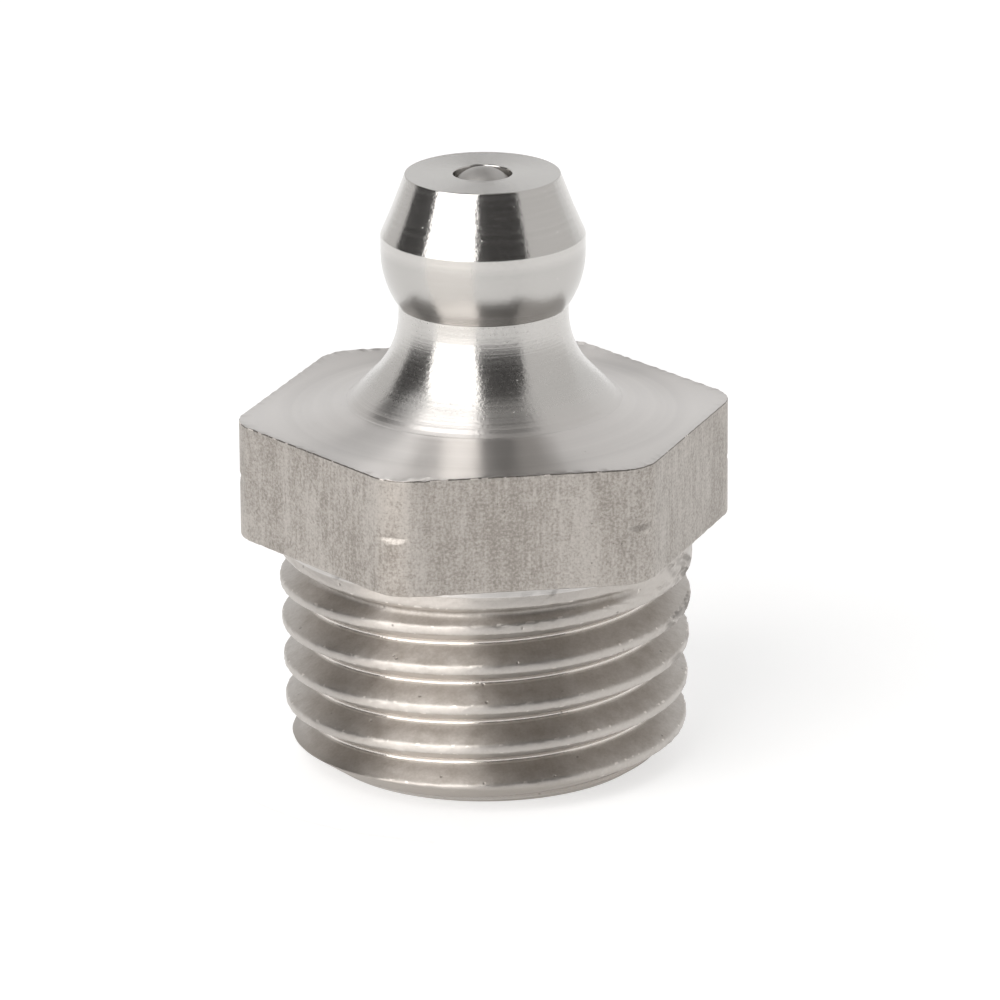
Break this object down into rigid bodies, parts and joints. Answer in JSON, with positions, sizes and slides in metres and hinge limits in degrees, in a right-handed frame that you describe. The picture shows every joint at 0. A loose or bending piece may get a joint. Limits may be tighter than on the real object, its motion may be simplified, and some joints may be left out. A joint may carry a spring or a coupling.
{
  "type": "grease nipple",
  "caption": "Straight grease nipple with a conical gun head, a sprung check ball, a spanner hexagon and a tapered pipe thread.",
  "frame": {"origin": "centre of the thread's end face, on the axis", "axes": "+Z along the axis from the thread end to the gun head; two corners of the hexagon lie on the X axis and two of its flats face +Y and -Y"},
  "size_m": [0.0158, 0.014, 0.0194],
  "materials": {
    "body_steel": "turned, with drawn hexagon flats",
    "ball_steel": "ground and polished",
    "spring_steel": "drawn wire"
  },
  "bodies": {
    "nipple": {"nipple_body": "body_steel", "ball_spring": "spring_steel"},
    "ball": {"check_ball": "ball_steel"}
  },
  "joints": [
    {"name": "ball_lift", "type": "slide", "parent": "nipple", "child": "ball", "axis": [0, 0, -1], "range_m": [0, 0.001], "stiffness_N_per_m": 680, "springref_m": -0.002, "deforming": ["ball_spring"]}
  ]
}
